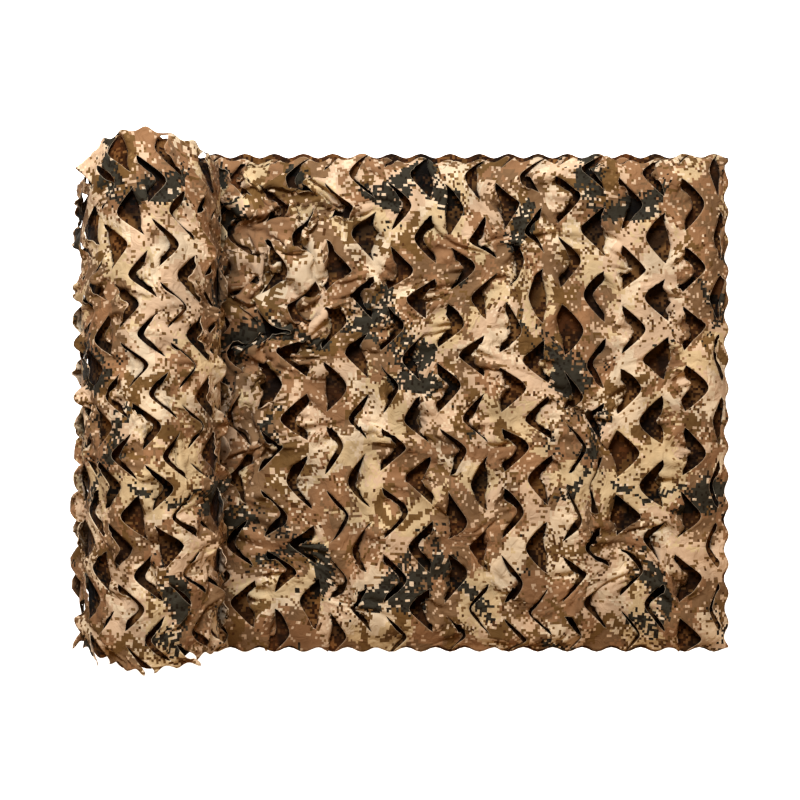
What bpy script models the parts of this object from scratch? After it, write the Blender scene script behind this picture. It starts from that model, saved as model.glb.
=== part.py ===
"""Camouflage netting: a two-ply incised cloth, partly unrolled.

The netting lies on a surface. A roll, its axis along Y, stands at the -X end, and the loose end runs from
under it towards +X. Every ply is the same cloth, cut with bracket-shaped cuts along parallel waves. In the
upper ply the cuts stand open: the tongue inside each bracket dips or curls, and the ribbon beside it rises.
The lower ply lies flat and its cuts are shut. Metres, +Z up, origin on the underside at mid length and width.
"""

import math

import bmesh
import bpy
from mathutils import Vector

# Driving dimensions
CLOTH_WIDTH = 1.50  # the cloth's width, along Y
TOTAL_LENGTH = 1.93  # from the roll's outer tongues to the loose end, along X
CUT_PITCH = CLOTH_WIDTH / 17  # between the waves that the cuts follow, and between scallops
ROW_PITCH = 0.0929  # between rows of cuts, half a wave long
FIRST_ROW_Y = -0.706  # the row of cuts nearest the -Y selvedge
SHEET_ROWS = range(0, 17)
WAVE_SWING = 0.042  # how far a wave swings to each side of its line
WAVE_CORNER = 0.90  # 0 is a sine, and near 1 a zigzag with straight legs
CUT_REACH = 0.78  # half a cut's length, in rows
CLOTH_THICK = 0.002
PLY_GAP = 0.0003
SCALLOP_DEPTH = 0.014  # crest to trough of the trimmed edge

ROLL_OUTER = 0.221  # the roll's radius over its tongues
ROLL_RADIUS = 0.203  # the roll's radius between them
ROLL_WAVES = 18  # waves round the roll, closer than in the loose end
ROLL_ROW_PITCH = 0.0845
ROLL_ROWS = range(1, 17)
ROLL_MIDDLE_ROW = 8.8
ROLL_HALF_ROWS = CLOTH_WIDTH / 2 / ROLL_ROW_PITCH
ROLL_LEAN = 0.19  # how far the wound waves lean, along X for each metre along Y
ROLL_SQUASH = 0.003  # what the roll's weight flattens underneath
ROLL_LIFT = 0.012  # a tongue's mean height on the roll
ROLL_LIFT_SPREAD = 0.006
ROLL_TUCKED = 0.45  # the share of the roll's tongues that are tucked in instead
ROLL_SINK = 0.0035  # the ribbon's edge beside a tongue
ROLL_TWIST = 0.003
ROLL_UNEVEN = 0.0035  # the roll's broad swells

# Places worked out from them
HALF_WIDTH = CLOTH_WIDTH / 2
RIGHT_EDGE = TOTAL_LENGTH / 2
AXIS_X = ROLL_OUTER - TOTAL_LENGTH / 2
LOWER_TOP = CLOTH_THICK
UPPER_REST = LOWER_TOP + PLY_GAP + CLOTH_THICK / 2  # the upper ply's middle, where it is pressed flat
ROLL_BED = LOWER_TOP + 2 * PLY_GAP + CLOTH_THICK
AXIS_Z = ROLL_BED + ROLL_RADIUS - ROLL_SQUASH
TAIL_START = AXIS_X - 0.036  # the plies end here, under the roll, where its last turn begins
LAST_LINE = RIGHT_EDGE - CUT_PITCH / 2  # the wave nearest the loose end
LINES = 18
TIP_SWING = WAVE_SWING * math.asin(WAVE_CORNER * -math.cos(math.pi * CUT_REACH)) / math.asin(WAVE_CORNER)
TONGUE_LENGTH = WAVE_SWING + TIP_SWING  # from the chord between a cut's ends to its bend

# The loose end's loft
LOFT = 0.031  # the upper ply's mean height over the lower
RIM_LOFT = 0.003  # the same at its trimmed edge
RIM_FADE = 0.075  # how far from the edge the loft is full
PRESS_FROM = 0.060  # beside the roll's axis, the cloth is flat to here
PRESS_TO = 0.230  # and free from here
RIBBON_RISE = 0.004  # the whole ribbons over the strips that carry the tongues
LIP_RISE = 0.009  # a ribbon's edge beside a cut, over the ribbon
RIBBON_REACH = 0.90  # in pitches, from a cut to where the ribbon beside it lies level again
LEAST_BACK = 0.006  # how far a tongue's edge draws back from its cut
MOST_BACK = 0.040
TONGUE_TWIST = 0.004
TONGUE_CLEAR = 0.002  # the least gap between a tongue and the lower ply

# How far a tongue's edge drops and draws back, by the side of its cut that it lies on
TONGUE_COLUMNS = ("drop", "least back", "what chance adds to it")
TONGUES = {
    -1: (0.027, 0.010, 0.034),
    1: (0.020, 0.006, 0.018),
}

# Broad swells of the upper ply
SWELL_COLUMNS = ("x", "y", "reach", "height")
SWELLS = (
    (-0.42, 0.56, 0.14, 0.016),
    (-0.20, 0.40, 0.18, 0.008),
    (0.16, 0.60, 0.14, 0.010),
    (0.62, 0.55, 0.18, 0.007),
    (0.10, 0.05, 0.24, 0.005),
    (0.55, -0.02, 0.20, 0.007),
    (0.82, 0.18, 0.16, 0.006),
    (-0.28, -0.10, 0.18, 0.005),
    (0.34, -0.36, 0.22, 0.006),
    (0.76, -0.50, 0.20, 0.007),
    (-0.34, -0.58, 0.20, -0.012),
    (0.24, -0.68, 0.18, -0.012),
)

# Where the cuts stand wider open than usual, or lie nearly shut
SPREAD_COLUMNS = ("x", "y", "reach", "change")
SPREADS = (
    (-0.36, 0.55, 0.26, 0.45),
    (0.12, 0.55, 0.24, 0.40),
    (0.36, 0.36, 0.30, 0.35),
    (0.70, 0.30, 0.24, 0.20),
    (-0.20, 0.02, 0.22, 0.25),
    (0.12, -0.34, 0.20, 0.45),
    (0.84, -0.10, 0.16, 0.30),
    (-0.34, -0.46, 0.30, -0.50),
    (0.30, -0.66, 0.22, -0.55),
    (0.62, -0.62, 0.26, -0.25),
)

ROW_STEPS = (0.0, 1 - CUT_REACH, CUT_REACH)  # where the grid has a row of points, in each row of cuts
ROLL_RIDGE = 3  # rings to each ridge of the wound end
ROLL_RINGS = 9
ROLL_END_DEPTH = 0.018
ROLL_END_UNEVEN = 0.010
BED_ANGLE = math.radians(25)  # to each side of the roll's bed, where its weight smooths it
CUTS_FROM = math.radians(48)  # nearer the bed than this, the roll's cuts are pressed shut
BED_FADE = math.radians(25)


def clear_scene():
    for obj in list(bpy.data.objects):
        bpy.data.objects.remove(obj)


def smooth(t):
    t = min(1.0, max(0.0, t))
    return t * t * (3 - 2 * t)


def chance(line, row, draw):
    """A number from 0 to 1 that belongs to one cut, the same each time."""
    value = math.sin(line * 12.9898 + row * 78.233 + draw * 37.719) * 43758.5453
    return value - math.floor(value)


def wave(rows):
    """Where a wave stands beside its line: +WAVE_SWING at even rows and -WAVE_SWING at odd ones."""
    return WAVE_SWING * math.asin(WAVE_CORNER * math.cos(math.pi * rows)) / math.asin(WAVE_CORNER)


def table_sum(rows, x, y):
    """The sum of a table's hills at a place: each row is x, y, reach and height."""
    total = 0.0
    for hill_x, hill_y, reach, height in rows:
        total += height * math.exp(-((x - hill_x) ** 2 + (y - hill_y) ** 2) / reach**2)
    return total


def tongue_side(row):
    """-1 where the tongue lies on the -X side of its cut, as at the even rows, and +1 elsewhere."""
    return -1 if row % 2 == 0 else 1


def cuts_near(along, rows, is_cut):
    """The cuts that bend the cloth at a place: (line, row, where along the cut, pitches from it)."""
    for line in (math.floor(along), math.floor(along) + 1):
        for row in (math.floor(rows), math.floor(rows) + 1):
            span = (rows - row) / CUT_REACH
            if is_cut(line, row) and abs(span) < 1:
                yield line, row, span, along - line


def bend(side, row, rows, off, pitch):
    """How much of its tongue's and its ribbon's motion a cut gives a point: two numbers from 0 to 1.

    A tongue turns on the chord between its cut's ends, so its motion grows evenly from there to the cut.
    """
    on_tongue = side == tongue_side(row) if abs(off) < 0.01 else off * tongue_side(row) > 0
    if on_tongue:
        reach = TIP_SWING - tongue_side(row) * wave(rows)
        return max(0.0, reach - abs(off) * pitch) / TONGUE_LENGTH, 0.0
    span = (rows - row) / CUT_REACH
    return 0.0, (1 - span * span) ** 0.6 * max(0.0, 1 - abs(off) / RIBBON_REACH) ** 2


# ---------------------------------------------------------------- the cloth as a grid with cuts


def row_places(first, last):
    """The rows of points between two rows of cuts, ending exactly there."""
    places = [row + step for row in range(math.floor(first), math.ceil(last) + 1) for step in ROW_STEPS]
    return [first] + [place for place in places if first + 0.05 < place < last - 0.05] + [last]


def cut_grid(columns, rows, line_at, is_cut):
    """A flat grid with points at these places, across and in rows of cuts, split along its cuts."""
    mesh = bmesh.new()
    last_column, last_row = len(columns) - 1, len(rows) - 1
    bmesh.ops.create_grid(mesh, x_segments=last_column, y_segments=last_row, size=0.5)
    for vert in mesh.verts:
        column = round((vert.co.x + 0.5) * last_column)
        row = round((vert.co.y + 0.5) * last_row)
        vert.co = (columns[column], rows[row], 0.0)
    bmesh.ops.split_edges(mesh, edges=[edge for edge in mesh.edges if on_cut(edge, line_at, is_cut)])
    return mesh


def on_cut(edge, line_at, is_cut):
    """Whether a grid edge lies on a cut."""
    low, high = (vert.co for vert in edge.verts)
    line = line_at(low.x)
    if line is None or abs(low.x - high.x) > 1e-6:
        return False
    middle = (low.y + high.y) / 2
    near = (math.floor(middle), math.floor(middle) + 1)
    return any(is_cut(line, row) and abs(middle - row) < CUT_REACH for row in near)


def lip_side(vert):
    """-1 or 1 for a point on a lip of a cut, by the side its faces are on, and 0 elsewhere."""
    away = sum(face.calc_center_median().x - vert.co.x for face in vert.link_faces)
    return 0 if abs(away) < 1e-6 else int(math.copysign(1, away))


def finish_mesh(mesh, name, material):
    """Makes the object. Its faces are cut into triangles first, so a wall's two sides fold alike."""
    bmesh.ops.triangulate(mesh, faces=mesh.faces)
    data = bpy.data.meshes.new(name)
    mesh.to_mesh(data)
    mesh.free()
    data.materials.append(material)
    obj = bpy.data.objects.new(name, data)
    bpy.context.scene.collection.objects.link(obj)
    return obj


# ---------------------------------------------------------------- the loose end


def scallop(along):
    """The trimmed edge's depth at a place along it: 0 on a crest."""
    return SCALLOP_DEPTH / 2 * (1 - math.cos(2 * math.pi * along / CUT_PITCH))


def sheet_line(place):
    """The number of the wave at a place across the sheet, counted from the loose end, or None."""
    number = (LAST_LINE - place) / CUT_PITCH
    line = round(number)
    return line if abs(number - line) < 0.01 and 0 <= line < LINES else None


def sheet_cut(line, row):
    """Cuts lie on every second wave in a row, and the rows alternate."""
    return row in SHEET_ROWS and (line + row) % 2 == 1


def loft_at(x, y):
    """(free height of the upper ply over its rest, share of the roll's pressing that is off)."""
    rim = min(HALF_WIDTH - abs(y), RIGHT_EDGE - x)
    free = smooth((x - AXIS_X - PRESS_FROM) / (PRESS_TO - PRESS_FROM))
    rise = smooth(rim / RIM_FADE)
    height = RIM_LOFT + (LOFT - RIM_LOFT + table_sum(SWELLS, x, y)) * rise
    return height * free, free


def cut_motion(line, row, spread):
    """(tongue's drop, tongue's twist, tongue's draw-back, ribbon's rise) of one cut."""
    drop, back, more_back = TONGUES[tongue_side(row)]
    drop *= spread * (0.8 + 0.5 * chance(line, row, 1))
    twist = TONGUE_TWIST * spread * (2 * chance(line, row, 3) - 1)
    back += more_back * spread * chance(line, row, 4)
    rise = LIP_RISE * spread * (0.5 + chance(line, row, 5))
    return drop, twist, min(MOST_BACK, max(LEAST_BACK, back)), rise


def upper_point(place, rows, side):
    """Where a point of the flat cloth lies in the upper ply."""
    near_edge = smooth((RIGHT_EDGE - place) / CUT_PITCH)
    x, y = place + wave(rows) * near_edge, FIRST_ROW_Y + rows * ROW_PITCH
    height, free = loft_at(x, y)
    spread = max(0.1, 1 + table_sum(SPREADS, x, y))
    along = (LAST_LINE - place) / CUT_PITCH
    height -= RIBBON_RISE * free * near_edge * math.sin(math.pi * along)
    # Lines count from the loose end, so the distance from a line is turned round.
    for line, row, span, off in cuts_near(along, rows, sheet_cut):
        drop, twist, back, rise = cut_motion(line, row, spread)
        tongue, ribbon = bend(side, row, rows, -off, CUT_PITCH)
        height += free * (rise * ribbon - (drop + twist * span) * tongue)
        x += tongue_side(row) * free * near_edge * back * tongue
    if place > RIGHT_EDGE - 1e-6:
        x -= scallop(y + CUT_PITCH / 2)
    if abs(y) > HALF_WIDTH - 1e-6:
        y -= math.copysign(scallop(place - LAST_LINE), y)
    return Vector((x, y, UPPER_REST + max(TONGUE_CLEAR * free, height)))


def sheet_row(y):
    """A place along Y, in rows of cuts."""
    return (y - FIRST_ROW_Y) / ROW_PITCH


def add_upper_ply(material):
    count = 2 * LINES + 2
    columns = [TAIL_START] + [RIGHT_EDGE - CUT_PITCH / 2 * (count - n) for n in range(count + 1)]
    rows = row_places(sheet_row(-HALF_WIDTH), sheet_row(HALF_WIDTH))
    mesh = cut_grid(columns, rows, sheet_line, sheet_cut)
    for edge in [edge for edge in mesh.edges if on_trimmed_edge(edge)]:
        bmesh.utils.edge_split(edge, edge.verts[0], 0.5)
    placed = [(vert, upper_point(vert.co.x, vert.co.y, lip_side(vert))) for vert in mesh.verts]
    for vert, point in placed:
        vert.co = point
    obj = finish_mesh(mesh, "upper_ply", material)
    wall = obj.modifiers.new("Cloth", "SOLIDIFY")
    wall.thickness = CLOTH_THICK
    wall.offset = 0


def on_trimmed_edge(edge):
    """Whether a flat grid edge lies on the loose end or a selvedge, clear of the roll."""
    ends = [vert.co for vert in edge.verts]
    if all(end.x > RIGHT_EDGE - 1e-6 for end in ends):
        return abs(ends[0].y - ends[1].y) > 0.3
    beside = all(abs(FIRST_ROW_Y + end.y * ROW_PITCH) > HALF_WIDTH - 1e-6 for end in ends)
    return beside and min(end.x for end in ends) > AXIS_X + ROLL_RADIUS / 2


def add_lower_ply(material):
    """The ply underneath: a flat sheet with the same scalloped edge."""
    steps = 4 * (LINES + 1)
    length = RIGHT_EDGE - TAIL_START
    places = [TAIL_START + length * n / steps for n in range(steps)]
    selvedge = [(place, scallop(place - LAST_LINE) - HALF_WIDTH) for place in places]
    ends = [CLOTH_WIDTH * n / steps - HALF_WIDTH for n in range(steps + 1)]
    outline = selvedge + [(RIGHT_EDGE - scallop(y + CUT_PITCH / 2), y) for y in ends]
    outline += [(x, -y) for x, y in reversed(selvedge)]
    mesh = bmesh.new()
    base = mesh.faces.new([mesh.verts.new((x, y, 0.0)) for x, y in outline])
    raised = bmesh.ops.extrude_face_region(mesh, geom=[base])
    for vert in [item for item in raised["geom"] if isinstance(item, bmesh.types.BMVert)]:
        vert.co.z = LOWER_TOP
    bmesh.ops.recalc_face_normals(mesh, faces=mesh.faces)
    finish_mesh(mesh, "lower_ply", material)


# ---------------------------------------------------------------- the roll


def roll_line(place):
    """The number of the wave at a place round the roll, or None."""
    line = round(place)
    return line if abs(place - line) < 0.01 else None


def roll_motion(line, row):
    """(tongue's lift, tongue's twist, ribbon's sink) of one cut on the roll, outwards."""
    lift = ROLL_LIFT + ROLL_LIFT_SPREAD * (2 * chance(line, row, 7) - 1)
    if chance(line, row, 8) < ROLL_TUCKED:
        lift = -lift
    twist = ROLL_TWIST * (2 * chance(line, row, 9) - 1)
    return lift, twist, math.copysign(ROLL_SINK, lift)


def roll_angle(place, rows, swing):
    """The angle round the roll from its bed towards -X, -180 to 180 degrees, of a wave's place and swing."""
    y = (rows - ROLL_MIDDLE_ROW) * ROLL_ROW_PITCH
    angle = 2 * math.pi * place / ROLL_WAVES + (swing - ROLL_LEAN * y) / ROLL_RADIUS
    return math.remainder(angle, 2 * math.pi)


def roll_cut(line, row):
    """The roll's cuts, without those that its bed presses shut and those at the seam of its grid."""
    beside = 0 < line < ROLL_WAVES and abs(roll_angle(line, row, 0.0)) > CUTS_FROM
    return beside and row in ROLL_ROWS and (line + row) % 2 == 1


def roll_point(place, rows, side):
    """Where a point of the flat cloth lies on the roll's outer turn."""
    y = (rows - ROLL_MIDDLE_ROW) * ROLL_ROW_PITCH
    angle = roll_angle(place, rows, wave(rows))
    swell = math.sin(2 * angle + 0.6) + math.sin(3 * angle + 7 * y)
    out = ROLL_UNEVEN * swell * smooth((abs(angle) - BED_ANGLE) / BED_FADE)
    pitch = 2 * math.pi * ROLL_RADIUS / ROLL_WAVES
    for line, row, span, off in cuts_near(place, rows, roll_cut):
        lift, twist, sink = roll_motion(line, row)
        tongue, ribbon = bend(side, row, rows, off, pitch)
        out += (lift + twist * span) * tongue - sink * ribbon
    radius = min(ROLL_RADIUS + out, ROLL_OUTER)
    x = AXIS_X - radius * math.sin(angle)
    z = AXIS_Z - radius * math.cos(angle)
    return Vector((x, y + end_uneven(angle, y), max(z, ROLL_BED)))


def end_uneven(angle, y):
    """How far round its rim each end of the roll stands out or in, fading towards the middle."""
    ripple = (math.sin(5 * angle + 1.0) + math.sin(9 * angle)) / 2
    towards_end = smooth(8 * abs(y) / CLOTH_WIDTH - 3)
    return math.copysign(ROLL_END_UNEVEN * ripple * towards_end, y)


def add_roll(material):
    columns = [n / 2 for n in range(2 * ROLL_WAVES + 1)]
    rows = row_places(ROLL_MIDDLE_ROW - ROLL_HALF_ROWS, ROLL_MIDDLE_ROW + ROLL_HALF_ROWS)
    mesh = cut_grid(columns, rows, roll_line, roll_cut)
    placed = [(vert, roll_point(vert.co.x, vert.co.y, lip_side(vert))) for vert in mesh.verts]
    seam = [vert for vert in mesh.verts if vert.co.x in (columns[0], columns[-1])]
    steps = cut_steps(mesh)
    for vert, point in placed:
        vert.co = point
    for corners in steps:
        mesh.faces.new(corners)
    bmesh.ops.remove_doubles(mesh, verts=seam, dist=1e-5)
    for end in (-1, 1):
        wind_end(mesh, end)
    bmesh.ops.recalc_face_normals(mesh, faces=mesh.faces)
    finish_mesh(mesh, "roll", material)


def cut_steps(mesh):
    """The corners of the steps between the two lips of each cut of the flat grid."""
    lips = {}
    for edge in [edge for edge in mesh.edges if edge.is_boundary and on_cut(edge, roll_line, roll_cut)]:
        low, high = sorted(edge.verts, key=lambda vert: vert.co.y)
        side = lip_side(low) or lip_side(high)
        lips.setdefault((round(low.co.x, 4), round(low.co.y, 4)), {})[side] = (low, high)
    rings = [(*pair[-1], *reversed(pair[1])) for pair in lips.values() if len(pair) == 2]
    return [list(dict.fromkeys(ring)) for ring in rings]


def wind_end(mesh, end):
    """Closes one end of the roll with a spiral ridge, as the wound turns show."""
    loop = [edge for edge in mesh.edges if edge.is_boundary and edge.verts[0].co.y * end > CLOTH_WIDTH / 4]
    for ring in range(1, ROLL_RINGS + 1):
        made = bmesh.ops.extrude_edge_only(mesh, edges=loop)["geom"]
        verts = [item for item in made if isinstance(item, bmesh.types.BMVert)]
        loop = [item for item in made if isinstance(item, bmesh.types.BMEdge)]
        shrink = (ROLL_RINGS - ring) / (ROLL_RINGS - ring + 1)
        for vert in verts:
            side, up = vert.co.x - AXIS_X, vert.co.z - AXIS_Z
            turns = ring / ROLL_RIDGE + end * math.atan2(side, -up) / (2 * math.pi)
            groove = 0.5 - 0.5 * math.cos(2 * math.pi * turns)
            depth = ROLL_END_DEPTH * (groove if ring < ROLL_RINGS else 1)
            vert.co = (AXIS_X + side * shrink, end * (HALF_WIDTH - depth), AXIS_Z + up * shrink)
    bmesh.ops.remove_doubles(mesh, verts=verts, dist=1e-5)


# ---------------------------------------------------------------- materials


def cloth(name, colour, roughness):
    material = bpy.data.materials.new(name)
    material.use_nodes = True
    shader = material.node_tree.nodes["Principled BSDF"]
    shader.inputs["Base Color"].default_value = (*colour, 1.0)
    shader.inputs["Roughness"].default_value = roughness
    shader.inputs["Metallic"].default_value = 0.0
    return material


def main():
    clear_scene()
    add_upper_ply(cloth("printed cloth, lit", (0.56, 0.40, 0.24), 0.75))
    add_lower_ply(cloth("printed cloth, underneath", (0.26, 0.17, 0.10), 0.85))
    add_roll(cloth("printed cloth, wound", (0.52, 0.37, 0.23), 0.75))


main()
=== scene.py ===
"""The looks of the camouflage netting: incised printed cloth in two plies, partly unrolled.

Every ply is one cloth, laid out flat as a grid, cut along its bracket-shaped cuts and then bent into place.
Its print is drawn on the flat cloth, so it bends with the cloth. Metres and radians, +Z up.
"""

import math

import bmesh
import bpy
import numpy
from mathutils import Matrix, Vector, noise


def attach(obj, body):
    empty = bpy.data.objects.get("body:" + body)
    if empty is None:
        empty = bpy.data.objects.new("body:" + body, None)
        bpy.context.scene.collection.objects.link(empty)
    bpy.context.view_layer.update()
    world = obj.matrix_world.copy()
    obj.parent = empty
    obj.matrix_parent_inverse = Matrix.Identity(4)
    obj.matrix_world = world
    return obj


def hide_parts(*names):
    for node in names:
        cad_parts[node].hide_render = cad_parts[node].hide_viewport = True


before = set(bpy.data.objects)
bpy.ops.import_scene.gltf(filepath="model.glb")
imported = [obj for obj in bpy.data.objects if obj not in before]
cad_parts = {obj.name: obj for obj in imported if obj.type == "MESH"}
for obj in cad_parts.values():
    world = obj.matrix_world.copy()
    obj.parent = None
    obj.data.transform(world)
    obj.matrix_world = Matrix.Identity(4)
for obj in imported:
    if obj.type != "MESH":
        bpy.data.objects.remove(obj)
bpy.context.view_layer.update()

# ---------------------------------------------------------------- the cloth, as the solids have it

CLOTH_WIDTH = 1.50  # along Y
TOTAL_LENGTH = 1.93  # from the roll's outer tongues to the loose end, along X
CUT_PITCH = CLOTH_WIDTH / 17  # between the waves that the cuts follow, and between scallops
ROW_PITCH = 0.0929  # between rows of cuts, half a wave long
FIRST_ROW_Y = -0.706  # the row of cuts nearest the -Y hem
SHEET_LINES = 18
SHEET_ROWS = 17
WAVE_SWING = 0.042  # how far a wave swings to each side of its line
WAVE_CORNER = 0.90  # 0 is a sine, and near 1 a zigzag with straight legs
CUT_REACH = 0.78  # half a cut's length, in rows
CLOTH_THICK = 0.002  # in the solids
SCENE_THICK = 0.001  # in the pieces made here
PLY_GAP = 0.0003
SCALLOP_DEPTH = 0.014  # crest to trough of the trimmed edge

ROLL_OUTER = 0.221  # the roll's radius over its tongues
ROLL_RADIUS = 0.203  # the roll's radius between them
ROLL_WAVES = 18  # waves round the roll
ROLL_ROW_PITCH = 0.0845
ROLL_LAST_ROW = 17
ROLL_MIDDLE_ROW = 8.8
ROLL_LEAN = 0.19  # how far the wound waves lean, along the cloth for each metre across it
ROLL_SQUASH = 0.003  # what the roll's weight flattens underneath

HALF_WIDTH = CLOTH_WIDTH / 2
RIGHT_EDGE = TOTAL_LENGTH / 2
AXIS_X = ROLL_OUTER - TOTAL_LENGTH / 2
UPPER_REST = CLOTH_THICK + PLY_GAP + CLOTH_THICK / 2  # the upper ply's middle, where it is pressed flat
ROLL_BED = 2 * CLOTH_THICK + 2 * PLY_GAP
AXIS_Z = ROLL_BED + ROLL_RADIUS - ROLL_SQUASH
TAIL_START = AXIS_X - 0.036  # the plies end here, under the roll
LAST_LINE = RIGHT_EDGE - CUT_PITCH / 2  # the wave nearest the loose end
TIP_SWING = WAVE_SWING * math.asin(WAVE_CORNER * -math.cos(math.pi * CUT_REACH)) / math.asin(WAVE_CORNER)
TONGUE_LENGTH = WAVE_SWING + TIP_SWING  # from the chord between a cut's ends to its bend
ROLL_PITCH = 2 * math.pi * ROLL_RADIUS / ROLL_WAVES

EDGE_PULL = 0.06  # how far in from an edge its trimming draws the cloth
TINY = 1e-6
ON_LINE = 0.01  # of a pitch: a point nearer than this lies on the line

# Each cut draws its features by number, so that no two of them go together.
(TURN_DRAW, KIND_DRAW, TWIST_DRAW, BACK_DRAW, LIFT_DRAW, CREASE_DRAW,
 RAISED_TURN_DRAW, RAISED_DRAW, ROLL_TWIST_DRAW, SLANT_DRAW) = range(1, 11)
GATHER_COUNT_DRAW, GATHER_TURN_DRAW, GATHER_HEIGHT_DRAW, CREASE_WAVE_DRAW = range(21, 25)

# The ways a tongue lies. It bends down on a radius by a turn in degrees, and draws back from its cut.
# up to this draw, least turn, most turn, radius, least back, most back
TONGUES = (
    (0.17, 115, 165, 0.011, 0.000, 0.010),  # folded under
    (0.48, 38, 76, 0.026, 0.002, 0.012),  # dipping steeply
    (0.83, 10, 40, 0.048, 0.001, 0.024),  # bending down a little
    (9.99, 2, 8, 0.100, 0.000, 0.005),  # shut
)
TONGUE_TWIST = 0.35  # how much more or less a tongue turns at its two ends
LEAST_TURN = 0.01
BACK_CURVE = 0.55  # below 1, a tongue draws back nearly as far at its root as at its tip
RIBBON_REACH = 0.90  # of a pitch: how far from the cut its lifted ribbon ends


def smooth(t):
    t = min(1.0, max(0.0, t))
    return t * t * (3 - 2 * t)


def chance(line, row, draw):
    """A number from 0 to 1 that belongs to one cut, the same each time."""
    value = math.sin(line * 12.9898 + row * 78.233 + draw * 37.719) * 43758.5453
    return value - math.floor(value)


def uneven(line, row, draw):
    """A number from -1 to 1 that belongs to one cut."""
    return 2 * chance(line, row, draw) - 1


def wave(rows):
    """How far the waves have swung, at this many rows across the cloth."""
    return WAVE_SWING * math.asin(WAVE_CORNER * math.cos(math.pi * rows)) / math.asin(WAVE_CORNER)


def table_sum(hills, x, y):
    """The sum of round hills, each given as x, y, reach and height."""
    total = 0.0
    for hill_x, hill_y, reach, height in hills:
        total += height * math.exp(-((x - hill_x) ** 2 + (y - hill_y) ** 2) / reach**2)
    return total


def ripple(x, y, size, draw):
    """Smooth unevenness from about -1 to 1, with swells of this size."""
    return noise.noise(Vector((x / size, y / size, 7.3 * draw)))


def ripples(x, y, table):
    """The sum of ripples, each given as height, size and draw."""
    return sum(height * ripple(x, y, size, draw) for height, size, draw in table)


def creases(x, y, draw):
    """Sharp-edged unevenness, about 0 to 1, as crumpled cloth has it. The creases run at a slant."""
    coarse = abs(ripple(x, 0.6 * y + 0.5 * x, 0.060, draw))
    fine = abs(ripple(x - 0.4 * y, y, 0.028, draw + 1))
    return coarse + 0.45 * fine


def edge_pull(inset):
    """How much of its edge's trimming reaches a point this far in from it."""
    return max(0.0, 1 - inset / EDGE_PULL) ** 2


def scallop(along):
    return SCALLOP_DEPTH / 2 * (1 - math.cos(2 * math.pi * along / CUT_PITCH))


# ---------------------------------------------------------------- cuts and tongues


def tongue_side(row):
    """Which way the tongues of a row point along the cloth."""
    return -1 if row % 2 == 0 else 1


def cuts_near(along, rows, is_cut):
    """The cuts whose tongue or ribbon a point belongs to, and where it lies beside them."""
    for line in (math.floor(along), math.floor(along) + 1):
        for row in (math.floor(rows), math.floor(rows) + 1):
            span = (rows - row) / CUT_REACH
            if is_cut(line, row) and abs(span) < 1:
                yield line, row, span, along - line


def bend(side, row, rows, off, pitch):
    """(share of its tongue's motion, share of its ribbon's motion) that a cut gives a point."""
    on_tongue = side == tongue_side(row) if abs(off) < ON_LINE else off * tongue_side(row) > 0
    if on_tongue:
        reach = TIP_SWING - tongue_side(row) * wave(rows)
        return max(0.0, reach - abs(off) * pitch) / TONGUE_LENGTH, 0.0
    span = (rows - row) / CUT_REACH
    return 0.0, (1 - span * span) ** 0.6 * max(0.0, 1 - abs(off) / RIBBON_REACH) ** 2


def tongue_lie(line, row, spread):
    """(turn, radius, draw-back) of one cut's tongue. Where cuts are spread wider, more are folded under."""
    draw = chance(line, row, KIND_DRAW) / spread
    kind = next(kind for kind in TONGUES if draw < kind[0])
    _, least_turn, most_turn, radius, least_back, most_back = kind
    turn = math.radians(least_turn + (most_turn - least_turn) * chance(line, row, TURN_DRAW))
    back = least_back + (most_back - least_back) * chance(line, row, BACK_DRAW)
    return turn, radius, back


def folded(length, turn, radius):
    """Where a point this far along a bent tongue lies: (how far along, how far down)."""
    arc = min(length, radius * turn)
    rest, angle = length - arc, arc / radius
    return (
        radius * math.sin(angle) + rest * math.cos(angle),
        radius * (1 - math.cos(angle)) + rest * math.sin(angle),
    )


GATHER_REACH = 0.036


def gathers(along, rows, is_cut, pitch, row_pitch):
    """The height of the creases that spread from where two cuts of one wave nearly meet."""
    height = 0.0
    for line in (math.floor(along), math.floor(along) + 1):
        for row in (math.floor(rows), math.floor(rows) + 1):
            if is_cut(line, row) or (line + row) % 2:
                continue
            x = (along - line) * pitch - wave(rows) + wave(row)
            y = (rows - row) * row_pitch
            reach = math.hypot(x, y) / GATHER_REACH
            count = 3 + int(3 * chance(line, row, GATHER_COUNT_DRAW))
            turned = math.atan2(y, x) * count + 6.3 * chance(line, row, GATHER_TURN_DRAW)
            high = 0.5 + chance(line, row, GATHER_HEIGHT_DRAW)
            height += math.exp(-reach * reach) * reach * math.sin(turned) * high
    return height


# ---------------------------------------------------------------- cloth as a grid with cuts

# Where the grid lines of a cut cloth lie in a row. Two of them are at the ends of cuts.
ROW_STEPS = (0, 0.075, 0.15, 0.22, 0.315, 0.41, 0.5, 0.59, 0.685, 0.78, 0.85, 0.925)
HEM_CLEAR = 0.04  # of a row: no grid line lies nearer to a hem

# Settling. The strengths are how firmly the cloth keeps its lengths, against 1 along its edges.
STEPS = 300
DIAGONAL_STRENGTH = 0.5
BEND_STRENGTH = 0.25
SHAPE_MEMORY = 0.6  # how much of a bend stays
RELAX = 1.5  # how far each step goes, against 1 for the mean of its pulls
STRETCH = 0.87  # the upper ply's own length to its laid length, where its cuts stand open
ROLL_STRETCH = 0.90  # the same for the roll's outer turn
GATHER = 1.03  # the same across the cloth, which lies a little gathered


def row_places(first, last, steps):
    """Where the grid's lines lie across the cloth, in rows of cuts, from hem to hem."""
    places = [row + step for row in range(math.floor(first), math.ceil(last) + 1) for step in steps]
    return [first] + [place for place in places if first + HEM_CLEAR < place < last - HEM_CLEAR] + [last]


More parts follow.
